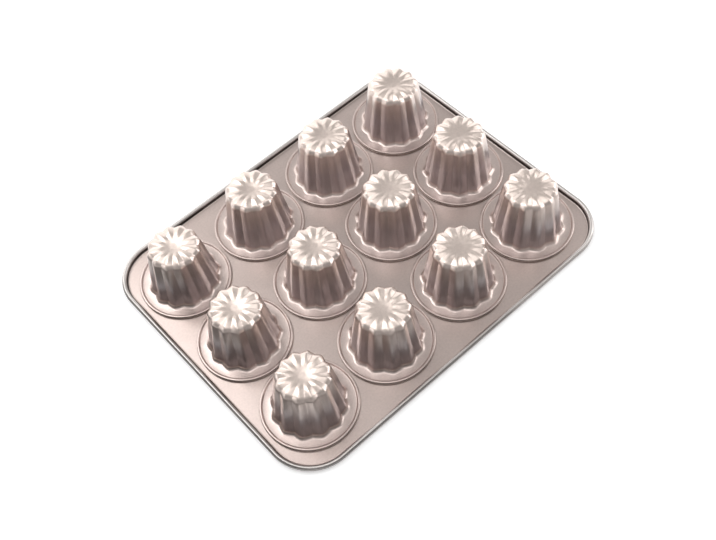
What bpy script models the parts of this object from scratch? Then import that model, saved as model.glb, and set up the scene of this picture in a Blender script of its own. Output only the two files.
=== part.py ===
"""A twelve-cup canele mould, standing bottom side up.

Metres, +Z up. X runs along the side of four cups and Y along the side of three.
The sheet's face between the cup mouths lies at z = 0, and the closed cup ends point up.
"""

from math import cos, hypot, pi, radians, sin

import bmesh
import bpy

# The sheets, and the gap that pieces keep where they meet.
TRAY_SHEET = 0.0005
CUP_SHEET = 0.0005
GAP = 0.0003

# The fluted cup along a crown: the wall runs from the mouth in to the brow, and over the
# shoulder to the crest. Inside the crest the closed end is dished down to a flat disc.
# Heights here and below are above the sheet's upper face.
FLUTES = 12
CUP_HEIGHT = 0.0468
MOUTH_RADIUS = 0.0267
MOUTH_HEIGHT = 0.0046
BROW_RADIUS = 0.0211
BROW_DROP = 0.0046
SHOULDER_RADIUS = 0.0194
SHOULDER_DROP = 0.0014
CREST_RADIUS = 0.0140
DISC_RADIUS = 0.0058
DISH_DEPTH = 0.0009

# How much deeper than the crown a groove lies at each level: inward, and down where it differs.
FOOT_GROOVE = 0.0015
MOUTH_GROOVE = 0.0024
MOUTH_GROOVE_RISE = 0.0006
BROW_GROOVE = 0.0020
BROW_GROOVE_DROP = 0.0002
SHOULDER_GROOVE = 0.0014
SHOULDER_GROOVE_DROP = 0.0012
CREST_GROOVE = 0.0014
CREST_GROOVE_DROP = 0.0009

# The foot, the flange and the crimped seam round each cup.
FOOT_FLARE = 0.0037
FLANGE_WIDTH = 0.0036
FLANGE_HEIGHT = 0.0012
SEAM_SLOPE = 0.0004
SEAM_HEIGHT = 0.0024
SEAM_WIDTH = 2 * CUP_SHEET + TRAY_SHEET + 2 * GAP
FOOT_RADIUS = MOUTH_RADIUS + FOOT_FLARE
SEAM_RADIUS = FOOT_RADIUS + FLANGE_WIDTH + SEAM_SLOPE + SEAM_WIDTH
COLLAR_RADIUS = SEAM_RADIUS - CUP_SHEET - GAP
COLLAR_HEIGHT = SEAM_HEIGHT - CUP_SHEET - GAP

# The layout of the cups, and how far each one is turned in its hole.
COLUMNS = 4
ROWS = 3
SEAM_SPACING = 0.0020
PITCH = 2 * SEAM_RADIUS + SEAM_SPACING
CUP_TURNS_DEGREES = (
    (22, 24, 25, 17),
    (12, 12, 15, 2),
    (25, 14, 24, 17),
)

# The rolled rim, and the flat land between the outer seams and the rim's fillet.
BEAD_RADIUS = 0.0019
BEAD_LIFT = 0.0024
RIM_WIDTH = 2 * BEAD_RADIUS + BEAD_LIFT
END_LAND = 0.00215
SIDE_LAND = 0.0059
CORNER_RADIUS = 0.036
TRAY_LENGTH = (COLUMNS - 1) * PITCH + 2 * (SEAM_RADIUS + END_LAND + RIM_WIDTH)
TRAY_WIDTH = (ROWS - 1) * PITCH + 2 * (SEAM_RADIUS + SIDE_LAND + RIM_WIDTH)

# How finely the pieces are faceted. Each flank of a flute is one facet.
FACETS = 2 * FLUTES
CURL_END_DEGREES = -120
CURL_STEP_DEGREES = 45
CORNER_STEPS = 6
SHARP_ANGLE = radians(50)


def clear_scene():
    for obj in list(bpy.data.objects):
        bpy.data.objects.remove(obj)


def steel(name, color, roughness, metallic):
    """A Principled BSDF material."""
    material = bpy.data.materials.new(name)
    material.use_nodes = True
    shader = material.node_tree.nodes["Principled BSDF"]
    shader.inputs["Base Color"].default_value = (*color, 1)
    shader.inputs["Roughness"].default_value = roughness
    shader.inputs["Metallic"].default_value = metallic
    return material


def add_ring(bm, points):
    return [bm.verts.new(point) for point in points]


def bridge(bm, first, second):
    """Faces between two closed rings. Each starts at an even corner, a groove on a cup, so
    that the two flanks of a flute are split into triangles alike."""
    for step in range(len(first)):
        corners = [first[step - 1], first[step], second[step], second[step - 1]]
        if step % 2 == 0:
            corners.append(corners.pop(0))
        bm.faces.new(corners)


def finish_mesh(bm, name):
    mesh = bpy.data.meshes.new(name)
    bm.to_mesh(mesh)
    bm.free()
    mesh.shade_smooth()
    mesh.set_sharp_from_angle(angle=SHARP_ANGLE)
    return mesh


def place(name, data, material, parent, location=(0, 0, 0), turn=0):
    """One named piece with its own material, parented to the mould's empty."""
    obj = bpy.data.objects.new(name, data)
    bpy.context.scene.collection.objects.link(obj)
    obj.parent = parent
    obj.location = location
    obj.rotation_euler.z = turn
    if not data.materials:
        data.materials.append(material)
    return obj


def cup_places():
    """The name, X, Y and turn of each cup, from the back row's left end."""
    for row in range(ROWS):
        for column in range(COLUMNS):
            x = (column - (COLUMNS - 1) / 2) * PITCH
            y = ((ROWS - 1) / 2 - row) * PITCH
            yield f"cup_{row + 1}_{column + 1}", x, y, radians(CUP_TURNS_DEGREES[row][column])


def offset_line(line, distance):
    """A line of (radius, height) points moved to its inner side, with mitred corners."""
    normals = []
    for (r0, z0), (r1, z1) in zip(line, line[1:]):
        length = hypot(r1 - r0, z1 - z0)
        normals.append(((z0 - z1) / length, (r1 - r0) / length))
    moved = []
    for index, (r, z) in enumerate(line):
        before = normals[max(index - 1, 0)]
        after = normals[min(index, len(normals) - 1)]
        scale = distance / (1 + before[0] * after[0] + before[1] * after[1])
        moved.append((r + (before[0] + after[0]) * scale, z + (before[1] + after[1]) * scale))
    return moved


def seam_line():
    """The hooked edge, from its foot over the tray's collar and down to the flange."""
    inner = SEAM_RADIUS - SEAM_WIDTH
    return [
        (SEAM_RADIUS, GAP),
        (SEAM_RADIUS, SEAM_HEIGHT),
        (inner, SEAM_HEIGHT),
        (inner - SEAM_SLOPE, FLANGE_HEIGHT),
    ]


def disc_line():
    """The flat middle of the closed end, from its edge to the axis."""
    height = CUP_HEIGHT - DISH_DEPTH
    return [(DISC_RADIUS, height), (0, height)]


def crown_line():
    """The cup's outer profile along a crown, from the hooked edge to the axis."""
    fluted = [
        (FOOT_RADIUS, FLANGE_HEIGHT),
        (MOUTH_RADIUS, MOUTH_HEIGHT),
        (BROW_RADIUS, CUP_HEIGHT - BROW_DROP),
        (SHOULDER_RADIUS, CUP_HEIGHT - SHOULDER_DROP),
        (CREST_RADIUS, CUP_HEIGHT),
    ]
    return seam_line() + fluted + disc_line()


def groove_line():
    """The cup's outer profile along the bottom of a groove."""
    fluted = [
        (FOOT_RADIUS - FOOT_GROOVE, FLANGE_HEIGHT),
        (MOUTH_RADIUS - MOUTH_GROOVE, MOUTH_HEIGHT + MOUTH_GROOVE_RISE),
        (BROW_RADIUS - BROW_GROOVE, CUP_HEIGHT - BROW_DROP - BROW_GROOVE_DROP),
        (SHOULDER_RADIUS - SHOULDER_GROOVE, CUP_HEIGHT - SHOULDER_DROP - SHOULDER_GROOVE_DROP),
        (CREST_RADIUS - CREST_GROOVE, CUP_HEIGHT - CREST_GROOVE_DROP),
    ]
    return seam_line() + fluted + disc_line()


def fluted_ring(groove, crown):
    """Points round the axis, by turns in a groove and on the crown beside it."""
    points = []
    for step in range(FACETS):
        radius, height = crown if step % 2 else groove
        angle = 2 * pi * step / FACETS
        points.append((radius * cos(angle), radius * sin(angle), height))
    return points


def cup_mesh():
    """One drawn sheet: an outer and an inner skin, joined along the hooked edge."""
    bm = bmesh.new()
    skins = []
    for depth in (0, CUP_SHEET):
        groove = offset_line(groove_line(), depth)[:-1]
        crown = offset_line(crown_line(), depth)[:-1]
        rings = [add_ring(bm, fluted_ring(*pair)) for pair in zip(groove, crown)]
        for first, second in zip(rings, rings[1:]):
            bridge(bm, first, second)
        bm.faces.new(rings[-1])
        skins.append(rings)
    outer, inner = skins
    bridge(bm, inner[0], outer[0])
    bmesh.ops.recalc_face_normals(bm, faces=bm.faces)
    return finish_mesh(bm, "fluted_cup")


def add_cups(parent):
    coat = steel("cup_coat", (0.58, 0.50, 0.46), 0.30, 0.9)
    mesh = cup_mesh()
    for name, x, y, turn in cup_places():
        place(name, mesh, coat, parent, (x, y, TRAY_SHEET), turn)


def rounded_rectangle(inset, height):
    """Points round the tray, at this inset from its outline."""
    radius = CORNER_RADIUS - inset
    points = []
    for corner in range(4):
        start = corner * pi / 2
        side_x = 1 if corner in (0, 3) else -1
        side_y = 1 if corner in (0, 1) else -1
        centre_x = side_x * (TRAY_LENGTH / 2 - CORNER_RADIUS)
        centre_y = side_y * (TRAY_WIDTH / 2 - CORNER_RADIUS)
        for step in range(CORNER_STEPS + 1):
            angle = start + step * pi / 2 / CORNER_STEPS
            points.append((centre_x + radius * cos(angle), centre_y + radius * sin(angle), height))
    return points


def rim_line():
    """(inset, height) points from the flat sheet, up a fillet and over the rolled bead."""
    line = []
    for degrees in (0, CURL_STEP_DEGREES):
        turn = radians(degrees)
        inset = 2 * BEAD_RADIUS + BEAD_LIFT * (1 - sin(turn))
        line.append((inset, BEAD_LIFT * (1 - cos(turn))))
    curl = list(range(180, CURL_END_DEGREES, -CURL_STEP_DEGREES)) + [CURL_END_DEGREES]
    for degrees in curl:
        turn = radians(degrees)
        line.append((BEAD_RADIUS * (1 - cos(turn)), BEAD_LIFT + BEAD_RADIUS * sin(turn)))
    return line


def circle(x, y, radius, height, turn):
    points = []
    for step in range(FACETS):
        angle = turn + 2 * pi * step / FACETS
        points.append((x + radius * cos(angle), y + radius * sin(angle), height))
    return points


def loop_edges(bm, ring):
    return [bm.edges.new((ring[step - 1], ring[step])) for step in range(len(ring))]


def tray_mesh():
    """The sheet's upper skin: its rolled rim, and a drawn-up collar round each hole."""
    bm = bmesh.new()
    rim_rings = [add_ring(bm, rounded_rectangle(*point)) for point in rim_line()]
    edges = loop_edges(bm, rim_rings[0])
    for _, x, y, turn in cup_places():
        hole = add_ring(bm, circle(x, y, COLLAR_RADIUS, 0, turn))
        edges += loop_edges(bm, hole)
        bridge(bm, hole, add_ring(bm, circle(x, y, COLLAR_RADIUS, COLLAR_HEIGHT, turn)))
    for first, second in zip(rim_rings, rim_rings[1:]):
        bridge(bm, second, first)
    bmesh.ops.triangle_fill(bm, use_beauty=True, edges=edges, normal=(0, 0, 1))
    return finish_mesh(bm, "tray")


def add_tray(parent):
    coat = steel("tray_coat", (0.60, 0.52, 0.48), 0.38, 0.9)
    tray = place("tray", tray_mesh(), coat, parent, (0, 0, TRAY_SHEET))
    thicken = tray.modifiers.new("sheet thickness", "SOLIDIFY")
    thicken.thickness = TRAY_SHEET
    thicken.offset = -1
    thicken.use_even_offset = True
    thicken.use_quality_normals = True


def add_rim_wire(parent):
    """The stiffening wire inside the rolled rim: one closed bent length of round wire."""
    bare = steel("rim_wire_steel", (0.55, 0.55, 0.56), 0.35, 1)
    curve = bpy.data.curves.new("rim_wire", "CURVE")
    curve.dimensions = "3D"
    curve.bevel_depth = BEAD_RADIUS * cos(radians(CURL_STEP_DEGREES / 2)) - TRAY_SHEET - GAP
    curve.bevel_resolution = 1
    path = rounded_rectangle(BEAD_RADIUS, BEAD_LIFT)
    spline = curve.splines.new("POLY")
    spline.points.add(len(path) - 1)
    for point, position in zip(spline.points, path):
        point.co = (*position, 1)
    spline.use_cyclic_u = True
    place("rim_wire", curve, bare, parent, (0, 0, TRAY_SHEET))


def main():
    clear_scene()
    mould = bpy.data.objects.new("canele_mould", None)
    bpy.context.scene.collection.objects.link(mould)
    add_tray(mould)
    add_rim_wire(mould)
    add_cups(mould)


main()
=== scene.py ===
from math import atan2, cos, pi, radians, sin, tan

import bmesh
import bpy
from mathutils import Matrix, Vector


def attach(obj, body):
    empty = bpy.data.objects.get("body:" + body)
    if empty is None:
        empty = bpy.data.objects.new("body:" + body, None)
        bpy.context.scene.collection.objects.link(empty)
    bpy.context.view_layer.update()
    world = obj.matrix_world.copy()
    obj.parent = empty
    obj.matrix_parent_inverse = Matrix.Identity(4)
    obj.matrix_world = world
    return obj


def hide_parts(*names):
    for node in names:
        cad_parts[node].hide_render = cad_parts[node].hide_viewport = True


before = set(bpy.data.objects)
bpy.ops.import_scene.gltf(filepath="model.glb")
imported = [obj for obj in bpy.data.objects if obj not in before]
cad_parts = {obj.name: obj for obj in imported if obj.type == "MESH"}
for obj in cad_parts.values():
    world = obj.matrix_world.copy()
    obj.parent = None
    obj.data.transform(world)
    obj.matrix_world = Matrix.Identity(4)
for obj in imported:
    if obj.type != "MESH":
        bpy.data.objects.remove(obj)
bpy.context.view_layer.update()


def grey(value):
    """The colour of this grey."""
    return value, value, value


# The object's lengths are in millimetres, and its heights are above the sheet's upper face.
# The camera, the cards, the lamps and the floor are in metres, above the sheet's lower face.
MM = 0.001

# The sheet, and the gap that pieces keep where they meet.
SHEET = 0.5
GAP = 0.3

# The seam round each cup, the flange inside it and the tray's collar under it.
SEAM_RADIUS = 36.5
SEAM_HEIGHT = 2.4
SEAM_TOP_WIDTH = 1.6
SEAM_SLOPE = 0.9
SEAM_OUTER_ROUNDING = 0.7
SEAM_INNER_ROUNDING = 0.5
SEAM_INNER_RADIUS = SEAM_RADIUS - SEAM_TOP_WIDTH
FLANGE_RADIUS = SEAM_INNER_RADIUS - SEAM_SLOPE
FLANGE_HEIGHT = 1.2
COLLAR_RADIUS = SEAM_RADIUS - SHEET - GAP
COLLAR_HEIGHT = 1.5
COLLAR_FILLET = 0.375

# The layout of the cups, and how far each one is turned.
COLUMNS = 4
ROWS = 3
SEAM_SPACING = 2.0
PITCH = 2 * SEAM_RADIUS + SEAM_SPACING
CUP_TURNS_DEGREES = (
    (22, 24, 25, 17),
    (12, 12, 15, 2),
    (25, 14, 24, 17),
)

# The tray's outline, which lies these margins outside the outer seams, and its rolled rim.
END_MARGIN = 8.35
SIDE_MARGIN = 12.1
TRAY_LENGTH = (COLUMNS - 1) * PITCH + 2 * (SEAM_RADIUS + END_MARGIN)
TRAY_WIDTH = (ROWS - 1) * PITCH + 2 * (SEAM_RADIUS + SIDE_MARGIN)
CORNER_RADIUS = 36.0
BEAD_RADIUS = 1.9
BEAD_LIFT = 1.9
RIM_FILLET = 1.4
RIM_LAND = 0.5
CURL_END_DEGREES = -120
WIRE_RADIUS = 0.95

# The flutes, and how finely the round forms are divided. The rounding on a crown is a share
# of the way from the crown to the groove.
FLUTES = 12
CROWN_ROUNDING = 0.2
SEGMENTS_PER_FLUTE = 16
ARC_STEPS = 6
CORNER_STEPS = 24
CURL_STEP_DEGREES = 15
HOLE_SEGMENTS = 96
WIRE_SIDES = 12

# The most of a stretch that the arc at one of its ends may take.
ARC_SHARE = 0.49

# Where the middle of a quarter arc lies, as a share of its radius.
ARC_MIDDLE = 0.3

# The cup's corners, each with its radius from the axis, its height and its rounding.
FOOT_ROUNDING = 3.5
GROOVE_FOOT = (25.0, FLANGE_HEIGHT, FOOT_ROUNDING)
GROOVE_SHOULDER = (18.7, 44.8, 4.0)
GROOVE_CREST = (10.0, 46.2, 20)
CROWN_FOOT = (27.4, FLANGE_HEIGHT, FOOT_ROUNDING)
CROWN_SHOULDER = (20.5, 46.1, 5.2)
CROWN_CREST = (12.0, 46.9, 25)
DISC_HEIGHT = 45.65
DISC_EDGE = (6.3, 46.0, 5)
DISC_FLAT = (3.0, DISC_HEIGHT, 20)
DISC_MIDDLE = (0.01, DISC_HEIGHT, 0)

# The cup's outer profile along a groove and along a crown, from the seam to the disc.
SEAM = [
    (SEAM_RADIUS, GAP, 0),
    (SEAM_RADIUS, SEAM_HEIGHT, SEAM_OUTER_ROUNDING),
    (SEAM_INNER_RADIUS, SEAM_HEIGHT, SEAM_INNER_ROUNDING),
    (FLANGE_RADIUS, FLANGE_HEIGHT, SEAM_INNER_ROUNDING),
]
DISC = [DISC_EDGE, DISC_FLAT, DISC_MIDDLE]
GROOVE = [*SEAM, GROOVE_FOOT, GROOVE_SHOULDER, GROOVE_CREST, *DISC]
CROWN = [*SEAM, CROWN_FOOT, CROWN_SHOULDER, CROWN_CREST, *DISC]

# Coat colour by height on a cup: painted shade greys the lower wall, painted light brightens the closed end.
# Painted shade darkens it on the seams' upright outer sides.
CUP_TINTS_AND_PAINTED_LIGHT = (
    (2.5, (0.63, 0.52, 0.478)),
    (5.0, (0.552, 0.49, 0.495)),
    (22.0, (0.56, 0.495, 0.497)),
    (34.0, (0.68, 0.583, 0.54)),
    (40.0, (0.80, 0.68, 0.622)),
    (44.8, (0.83, 0.70, 0.637)),
    (46.0, (0.72, 0.612, 0.55)),
)
SEAM_SHADE = grey(0.06)
CUP_PAINTED_SHADE = (
    (0.2, SEAM_SHADE),
    (SEAM_HEIGHT - SEAM_OUTER_ROUNDING, SEAM_SHADE),
    (2.1, grey(1)),
)

# The coat's colour by height on the tray: the flat sheet and the more neutral rim, with painted shade at the
# rim's foot.
TRAY_TINTS = (
    (0.1, (0.585, 0.483, 0.443)),
    (1.6, (0.61, 0.57, 0.545)),
)
RIM_SHADE = grey(0.12)
TRAY_PAINTED_SHADE = (
    (0.08, grey(1)),
    (0.3, RIM_SHADE),
    (BEAD_LIFT, RIM_SHADE),
    (3.0, grey(1)),
)

# A normal's height is 1 where a surface faces up, 0 where it is upright and -1 where it faces
# down. Over these spans of it the painted shade goes from none to full, on the tray and on a cup.
TRAY_PAINTED_SHADE_NORMALS = (-0.7, -0.4)
CUP_PAINTED_SHADE_NORMALS = (0.25, 0.1)

# The coat: its noises, in features for each metre, and how dark the clouds and streaks are.
CLOUD_SCALE = 25
CLOUD_SHADE = grey(0.95)
STREAK_SCALE = 600
STREAK_LENGTHENING = (1, 1, 0.08)
STREAK_SHADE = grey(0.9)
SHEEN_SCALE = 60
COAT_ROUGHNESS = (0.30, 0.34)
GRAIN_SCALE = 2500
GRAIN_HEIGHT = 0.0000015
FLAKE_METALLIC = 0.97
TOP_COAT = 0.5
TOP_COAT_ROUGHNESS = 0.15

# The bare wire.
WIRE_DARK = (0.50, 0.50, 0.51)
WIRE_LIGHT = (0.60, 0.60, 0.61)
WIRE_TONE_SCALE = 300
WIRE_SHEEN_SCALE = 900
WIRE_ROUGHNESS = (0.3, 0.45)
WIRE_GRAIN_SCALE = 4000
WIRE_GRAIN_HEIGHT = 0.00001

# The span that most of a noise's values lie in.
NOISE_MIDDLE = (0.3, 0.7)

# The camera, at the photograph's place.
SENSOR_WIDTH = 36
LENS = 50.6048
SHIFT = (0.0377269, 0.0139944)
CLIP_START = 0.01
CAMERA_PLACE = (-0.26169, -0.36064, 0.65278)
CAMERA_TURN_DEGREES = (32.53955, 5.34748, -41.27465)

# The floor, and the white that only the camera and reflections see on it.
FLOOR_REACH = 3.0
FLOOR_HEIGHT = -0.0002
FLOOR_GREY = 0.9
FLOOR_GLOW = 0.3

# Upright cards round the object, which the camera doesn't see: name, azimuth, distance, shift
# to the side, half width, height and grey. The flags stand just outside the tray, and show in
# reflections alone.
DARK_CARD = ("dark_card", -120, 1.2, 0, 1.7, 1.6, 0.34)
FLAG_HEIGHT = 0.039
FLAGS = (
    ("left_flag", 180, 0.165, 0, 0.14, FLAG_HEIGHT, 0.2),
    ("near_flag", -90, 0.132, -0.06, 0.11, FLAG_HEIGHT, 0.3),
    ("right_flag", -90, 0.132, 0.11, 0.06, FLAG_HEIGHT, 0.7),
)

# Soft boxes that face the object: name, azimuth, elevation, size and radiance.
LAMP_DISTANCE = 1.6
SOFT_BOXES = (
    ("back_box", 75, 20, (3.2, 1.1), 1.15),
    ("left_box", 106, 56, (0.7, 0.9), 3.0),
    ("top_box", 237, 86, (0.8, 0.8), 1.4),
    ("far_box", -10, 45, (0.8, 0.7), 1.9),
    ("side_box", 147, 26, (0.6, 0.6), 1.6),
    ("right_box", -32, 18, (1.2, 0.8), 2.2),
)
WORLD_STRENGTH = 0.55


def cup_places():
    """The node, the middle and the turn of each cup."""
    for row in range(ROWS):
        for column in range(COLUMNS):
            x = (column - (COLUMNS - 1) / 2) * PITCH
            y = ((ROWS - 1) / 2 - row) * PITCH
            yield f"cup_{row + 1}_{column + 1}", x, y, radians(CUP_TURNS_DEGREES[row][column])


def rounded(line):
    """The points of a profile, with each rounded corner drawn as an arc."""
    points = []
    for index, (r, z, rounding) in enumerate(line):
        corner = Vector((r, z))
        if rounding == 0:
            points.append(corner)
            continue
        before = Vector(line[index - 1][:2]) - corner
        after = Vector(line[index + 1][:2]) - corner
        half = before.angle(after) / 2
        reach = min(rounding / tan(half), before.length * ARC_SHARE, after.length * ARC_SHARE)
        radius = reach * tan(half)
        middle = corner + (before.normalized() + after.normalized()).normalized() * radius / sin(half)
        first = corner + before.normalized() * reach - middle
        last = corner + after.normalized() * reach - middle
        start = atan2(first.y, first.x)
        sweep = atan2(first.x * last.y - first.y * last.x, first.dot(last))
        for step in range(ARC_STEPS + 1):
            angle = start + sweep * step / ARC_STEPS
            points.append(middle + Vector((cos(angle), sin(angle))) * radius)
    return points


def add_ring(bm, points):
    """Vertices at these (x, y, height) points, which are in millimetres above the sheet."""
    return [bm.verts.new((x * MM, y * MM, (SHEET + z) * MM)) for x, y, z in points]


def bridge(bm, first, second):
    """A band of faces between two closed rings."""
    for step in range(len(first)):
        bm.faces.new((first[step - 1], first[step], second[step], second[step - 1]))


def finish_mesh(bm, name):
    bmesh.ops.recalc_face_normals(bm, faces=bm.faces)
    mesh = bpy.data.meshes.new(name)
    bm.to_mesh(mesh)
    bm.free()
    mesh.shade_smooth()
    return mesh


def swell(step):
    """How far this step round a cup has come from a groove, 0, to a crown, 1. The flanks of
    a flute are flat, and meet in a small rounding on the crown."""
    share = abs((step / SEGMENTS_PER_FLUTE + 0.5) % 1 - 0.5) * 2
    from_crown = 1 - share
    if from_crown < CROWN_ROUNDING:
        return 1 - CROWN_ROUNDING / 2 - from_crown ** 2 / (2 * CROWN_ROUNDING)
    return share


def cup_mesh(name, x, y, turn):
    """The cup's outer skin, from the seam to the disc."""
    count = FLUTES * SEGMENTS_PER_FLUTE
    bm = bmesh.new()
    rings = []
    for groove, crown in zip(rounded(GROOVE), rounded(CROWN)):
        points = []
        for step in range(count):
            radius, height = groove.lerp(crown, swell(step))
            angle = turn + 2 * pi * step / count
            points.append((x + radius * cos(angle), y + radius * sin(angle), height))
        rings.append(add_ring(bm, points))
    for first, second in zip(rings, rings[1:]):
        bridge(bm, first, second)
    bm.faces.new(rings[-1])
    return finish_mesh(bm, name)


def rounded_rectangle(inset, height):
    """Points round the tray, at this inset from its outline."""
    radius = CORNER_RADIUS - inset
    points = []
    for corner in range(4):
        side_x = 1 if corner in (0, 3) else -1
        side_y = 1 if corner in (0, 1) else -1
        centre_x = side_x * (TRAY_LENGTH / 2 - CORNER_RADIUS)
        centre_y = side_y * (TRAY_WIDTH / 2 - CORNER_RADIUS)
        for step in range(CORNER_STEPS + 1):
            angle = (corner + step / CORNER_STEPS) * pi / 2
            points.append((centre_x + radius * cos(angle), centre_y + radius * sin(angle), height))
    return points


def rim_line():
    """(inset, height) points from the flat sheet, up a fillet and over the rolled bead."""
    line = [(2 * BEAD_RADIUS + RIM_FILLET + RIM_LAND, 0)]
    for degrees in range(0, 90 + CURL_STEP_DEGREES, CURL_STEP_DEGREES):
        turn = radians(degrees)
        line.append((2 * BEAD_RADIUS + RIM_FILLET * (1 - sin(turn)), RIM_FILLET * (1 - cos(turn))))
    for degrees in range(180 - CURL_STEP_DEGREES, CURL_END_DEGREES - CURL_STEP_DEGREES, -CURL_STEP_DEGREES):
        turn = radians(degrees)
        line.append((BEAD_RADIUS * (1 - cos(turn)), BEAD_LIFT + BEAD_RADIUS * sin(turn)))
    return line


def collar_line():
    """(radius, height) points from the flat sheet, round a fillet and up a hole's collar."""
    return [
        (COLLAR_RADIUS + 2 * COLLAR_FILLET, 0),
        (COLLAR_RADIUS + COLLAR_FILLET, 0),
        (COLLAR_RADIUS + COLLAR_FILLET * ARC_MIDDLE, COLLAR_FILLET * ARC_MIDDLE),
        (COLLAR_RADIUS, COLLAR_FILLET),
        (COLLAR_RADIUS, COLLAR_HEIGHT),
    ]


def circle(x, y, radius, height):
    """Points round a hole."""
    points = []
    for step in range(HOLE_SEGMENTS):
        angle = 2 * pi * step / HOLE_SEGMENTS
        points.append((x + radius * cos(angle), y + radius * sin(angle), height))
    return points


def loop_edges(bm, ring):
    return [bm.edges.new((ring[step - 1], ring[step])) for step in range(len(ring))]


def tray_mesh():
    """The sheet's upper skin. A ring just outside each fillet keeps the sheet between flat."""
    bm = bmesh.new()
    rim = [add_ring(bm, rounded_rectangle(*point)) for point in rim_line()]
    edges = loop_edges(bm, rim[0])
    for _, x, y, _ in cup_places():
        hole = [add_ring(bm, circle(x, y, *point)) for point in collar_line()]
        edges += loop_edges(bm, hole[0])
        for first, second in zip(hole, hole[1:]):
            bridge(bm, first, second)
    for first, second in zip(rim, rim[1:]):
        bridge(bm, second, first)
    bmesh.ops.triangle_fill(bm, use_beauty=True, edges=edges, normal=(0, 0, 1))
    return finish_mesh(bm, "tray")


def wire_mesh():
    """The closed wire inside the rolled rim."""
    bm = bmesh.new()
    rings = []
    for side in range(WIRE_SIDES):
        angle = 2 * pi * side / WIRE_SIDES
        inset = BEAD_RADIUS + WIRE_RADIUS * cos(angle)
        height = BEAD_LIFT + WIRE_RADIUS * sin(angle)
        rings.append(add_ring(bm, rounded_rectangle(inset, height)))
    for side in range(WIRE_SIDES):
        bridge(bm, rings[side - 1], rings[side])
    return finish_mesh(bm, "wire")


def new_object(name, data):
    obj = bpy.data.objects.new(name, data)
    bpy.context.scene.collection.objects.link(obj)
    return obj


def add_piece(name, mesh, material, node):
    """A piece of the scene in place of the solid of this node."""
    obj = new_object(name, mesh)
    mesh.materials.append(material)
    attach(obj, "root")
    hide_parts(node)
    return obj


def thicken(obj):
    """Gives the skin the sheet's thickness, on the side away from its outer face."""
    sheet = obj.modifiers.new("sheet", "SOLIDIFY")
    sheet.thickness = SHEET * MM
    sheet.offset = -1


def new_material(name):
    """A node material, with its tree and its shader."""
    material = bpy.data.materials.new(name)
    material.use_nodes = True
    return material, material.node_tree, material.node_tree.nodes["Principled BSDF"]


def object_place(tree):
    return tree.nodes.new("ShaderNodeTexCoord").outputs["Object"]


def height_of(tree, vector):
    """The Z of a place or a normal."""
    node = tree.nodes.new("ShaderNodeSeparateXYZ")
    tree.links.new(vector, node.inputs["Vector"])
    return node.outputs["Z"]


def calculate(tree, operation, *values):
    """Arithmetic on shader values, each of which is a node's output or a number."""
    node = tree.nodes.new("ShaderNodeMath")
    node.operation = operation
    for socket, value in zip(node.inputs, values):
        if isinstance(value, bpy.types.NodeSocket):
            tree.links.new(value, socket)
        else:
            socket.default_value = value
    return node.outputs["Value"]


def remap(tree, value, source, target=(0, 1)):
    """The value taken from one span to another, and kept inside it."""
    node = tree.nodes.new("ShaderNodeMapRange")
    node.inputs["From Min"].default_value, node.inputs["From Max"].default_value = source
    node.inputs["To Min"].default_value, node.inputs["To Max"].default_value = target
    tree.links.new(value, node.inputs["Value"])
    return node.outputs["Result"]


def noise(tree, place, scale, detail=2):
    """Noise over the piece; the scale is in features for each metre."""
    node = tree.nodes.new("ShaderNodeTexNoise")
    node.inputs["Scale"].default_value = scale
    node.inputs["Detail"].default_value = detail
    tree.links.new(place, node.inputs["Vector"])
    return node.outputs["Fac"]


def mix_colors(tree, factor, first, second, blend_type="MIX"):
    """Mixes two colours, each of which is a node's output or a colour. No factor means 1."""
    node = tree.nodes.new("ShaderNodeMix")
    node.data_type = "RGBA"
    node.blend_type = blend_type
    node.inputs["Factor"].default_value = 1
    if factor is not None:
        tree.links.new(factor, node.inputs["Factor"])
    for name, color in (("A", first), ("B", second)):
        if isinstance(color, bpy.types.NodeSocket):
            tree.links.new(color, node.inputs[name])
        else:
            node.inputs[name].default_value = (*color, 1)
    return node.outputs["Result"]


def bump(tree, shader, height, distance):
    node = tree.nodes.new("ShaderNodeBump")
    node.inputs["Distance"].default_value = distance
    tree.links.new(height, node.inputs["Height"])
    tree.links.new(node.outputs["Normal"], shader.inputs["Normal"])


def by_height(tree, place, steps):
    """A colour that follows the height above the sheet; the steps are (height, colour) pairs."""
    low, high = steps[0][0], steps[-1][0]
    ramp = tree.nodes.new("ShaderNodeValToRGB")
    share = remap(tree, height_of(tree, place), ((SHEET + low) * MM, (SHEET + high) * MM))
    tree.links.new(share, ramp.inputs["Fac"])
    elements = ramp.color_ramp.elements
    while len(elements) < len(steps):
        elements.new(0.5)
    for element, (height, color) in zip(elements, steps):
        element.position = (height - low) / (high - low)
        element.color = (*color, 1)
    return ramp.outputs["Color"]


def normal_height(tree):
    return height_of(tree, tree.nodes.new("ShaderNodeNewGeometry").outputs["Normal"])


def not_facing_down(tree):
    """0 where the surface faces down, so that the underside gets no painted shade, and 1 elsewhere."""
    return remap(tree, normal_height(tree), TRAY_PAINTED_SHADE_NORMALS)


def upright(tree):
    """1 where the surface is upright, as on the outer side of a seam, and 0 elsewhere; it places the seams'
    painted shade.
    """
    return remap(tree, calculate(tree, "ABSOLUTE", normal_height(tree)), CUP_PAINTED_SHADE_NORMALS)


def drawn_streaks(tree, place):
    """Fine noise drawn out along the height, as from the press."""
    mapping = tree.nodes.new("ShaderNodeMapping")
    mapping.inputs["Scale"].default_value = STREAK_LENGTHENING
    tree.links.new(place, mapping.inputs["Vector"])
    return noise(tree, mapping.outputs["Vector"], STREAK_SCALE, detail=3)


def shading(tree, factor, darkest):
    """A grey that follows the middle of a noise from the darkest one to white."""
    return mix_colors(tree, remap(tree, factor, NOISE_MIDDLE), darkest, grey(1))


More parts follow.
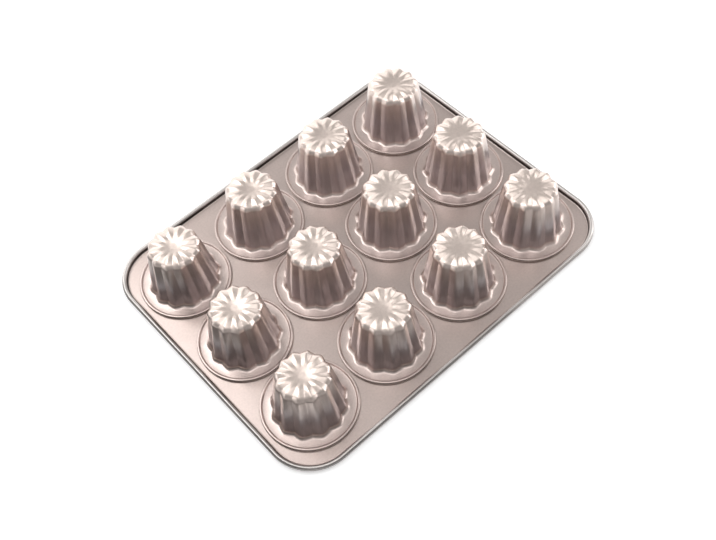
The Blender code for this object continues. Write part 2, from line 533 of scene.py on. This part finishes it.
def champagne_coat(name, tints, painted_shade, where):
    """A satin non-stick coat: fine metal flake under a clear top, with painted light and shade in its
    colour.
    """
    material, tree, shader = new_material(name)
    place = object_place(tree)
    cloud = shading(tree, noise(tree, place, CLOUD_SCALE), CLOUD_SHADE)
    streak = shading(tree, drawn_streaks(tree, place), STREAK_SHADE)
    wear = mix_colors(tree, None, cloud, streak, "MULTIPLY")
    # The colours by height hold painted shade and painted light on the cups.
    color = mix_colors(tree, None, by_height(tree, place, tints), wear, "MULTIPLY")
    # Painted shade on the seams' outer sides and the rim's foot, where the mask lets it through.
    color = mix_colors(tree, where(tree), color, by_height(tree, place, painted_shade), "MULTIPLY")
    tree.links.new(color, shader.inputs["Base Color"])
    roughness = remap(tree, noise(tree, place, SHEEN_SCALE, detail=4), NOISE_MIDDLE, COAT_ROUGHNESS)
    tree.links.new(roughness, shader.inputs["Roughness"])
    bump(tree, shader, noise(tree, place, GRAIN_SCALE, detail=1), GRAIN_HEIGHT)
    shader.inputs["Metallic"].default_value = FLAKE_METALLIC
    shader.inputs["Coat Weight"].default_value = TOP_COAT
    shader.inputs["Coat Roughness"].default_value = TOP_COAT_ROUGHNESS
    return material


def bare_wire():
    """Drawn steel wire, slightly dull."""
    material, tree, shader = new_material("bare_wire")
    place = object_place(tree)
    tone = remap(tree, noise(tree, place, WIRE_TONE_SCALE), NOISE_MIDDLE)
    tree.links.new(mix_colors(tree, tone, WIRE_DARK, WIRE_LIGHT), shader.inputs["Base Color"])
    roughness = remap(tree, noise(tree, place, WIRE_SHEEN_SCALE), NOISE_MIDDLE, WIRE_ROUGHNESS)
    tree.links.new(roughness, shader.inputs["Roughness"])
    bump(tree, shader, noise(tree, place, WIRE_GRAIN_SCALE), WIRE_GRAIN_HEIGHT)
    shader.inputs["Metallic"].default_value = 1
    return material


def add_mould():
    """The twelve cups, the tray and the rim wire."""
    cup_coat = champagne_coat("cup_champagne", CUP_TINTS_AND_PAINTED_LIGHT, CUP_PAINTED_SHADE, upright)
    tray_coat = champagne_coat("tray_champagne", TRAY_TINTS, TRAY_PAINTED_SHADE, not_facing_down)
    for node, x, y, turn in cup_places():
        thicken(add_piece(f"fluted_{node}", cup_mesh(node, x, y, turn), cup_coat, node))
    thicken(add_piece("pressed_tray", tray_mesh(), tray_coat, "tray"))
    add_piece("round_wire", wire_mesh(), bare_wire(), "rim_wire")


def add_camera():
    data = bpy.data.cameras.new("camera")
    data.sensor_width = SENSOR_WIDTH
    data.lens = LENS
    data.shift_x, data.shift_y = SHIFT
    data.clip_start = CLIP_START
    camera = new_object("camera", data)
    camera.location = CAMERA_PLACE
    camera.rotation_euler = [radians(turn) for turn in CAMERA_TURN_DEGREES]
    bpy.context.scene.camera = camera


def direction(azimuth, elevation, distance):
    """The point at this distance from the middle of the sheet's lower face."""
    a, e = radians(azimuth), radians(elevation)
    return Vector((cos(a) * cos(e), sin(a) * cos(e), sin(e))) * distance


def plain_material(name, color):
    """A matt material for a sheet of the studio."""
    material, _, shader = new_material(name)
    shader.inputs["Base Color"].default_value = (*grey(color), 1)
    shader.inputs["Roughness"].default_value = 1
    return material


def glow(material, strength):
    """White that only the camera and reflections see, so the object's shadow stays."""
    tree = material.node_tree
    rays = tree.nodes.new("ShaderNodeLightPath").outputs
    seen = calculate(tree, "ADD", rays["Is Camera Ray"], rays["Is Glossy Ray"])
    seen = calculate(tree, "ADD", seen, rays["Is Transmission Ray"])
    shader = tree.nodes["Principled BSDF"]
    shader.inputs["Emission Color"].default_value = (*grey(1), 1)
    tree.links.new(calculate(tree, "MULTIPLY", seen, strength), shader.inputs["Emission Strength"])


def add_stage(name, corners, color):
    """A flat sheet of the studio."""
    bm = bmesh.new()
    bm.faces.new([bm.verts.new(corner) for corner in corners])
    mesh = bpy.data.meshes.new(name)
    bm.to_mesh(mesh)
    bm.free()
    mesh.materials.append(plain_material(name, color))
    stage = new_object(name, mesh)
    return stage


def add_floor():
    sides = ((-1, -1), (1, -1), (1, 1), (-1, 1))
    corners = [(x * FLOOR_REACH, y * FLOOR_REACH, FLOOR_HEIGHT) for x, y in sides]
    floor = add_stage("floor", corners, FLOOR_GREY)
    glow(floor.data.materials[0], FLOOR_GLOW)


def add_card(name, azimuth, distance, shift, half_width, height, color):
    """A card that stands on the floor, faces the object and is hidden from the camera."""
    centre = direction(azimuth, 0, distance) + direction(azimuth + 90, 0, shift)
    along = direction(azimuth + 90, 0, half_width)
    up = Vector((0, 0, height))
    card = add_stage(name, (centre - along, centre + along, centre + along + up, centre - along + up), color)
    card.visible_camera = False
    return card


def add_cards():
    add_card(*DARK_CARD)
    for values in FLAGS:
        flag = add_card(*values)
        flag.visible_diffuse = False
        flag.visible_shadow = False


def add_soft_box(name, azimuth, elevation, size, radiance):
    lamp = bpy.data.lights.new(name, "AREA")
    lamp.shape = "RECTANGLE"
    lamp.size, lamp.size_y = size
    lamp.energy = radiance * pi * size[0] * size[1]
    box = new_object(name, lamp)
    box.location = direction(azimuth, elevation, LAMP_DISTANCE)
    box.rotation_euler = (-box.location).to_track_quat("-Z", "Y").to_euler()
    box.visible_camera = False


def add_light():
    for values in SOFT_BOXES:
        add_soft_box(*values)
    world = bpy.data.worlds.new("studio")
    world.use_nodes = True
    background = world.node_tree.nodes["Background"]
    background.inputs["Color"].default_value = (*grey(1), 1)
    background.inputs["Strength"].default_value = WORLD_STRENGTH
    bpy.context.scene.world = world


add_mould()
add_camera()
add_floor()
add_cards()
add_light()
bpy.context.scene.view_settings.view_transform = "Standard"
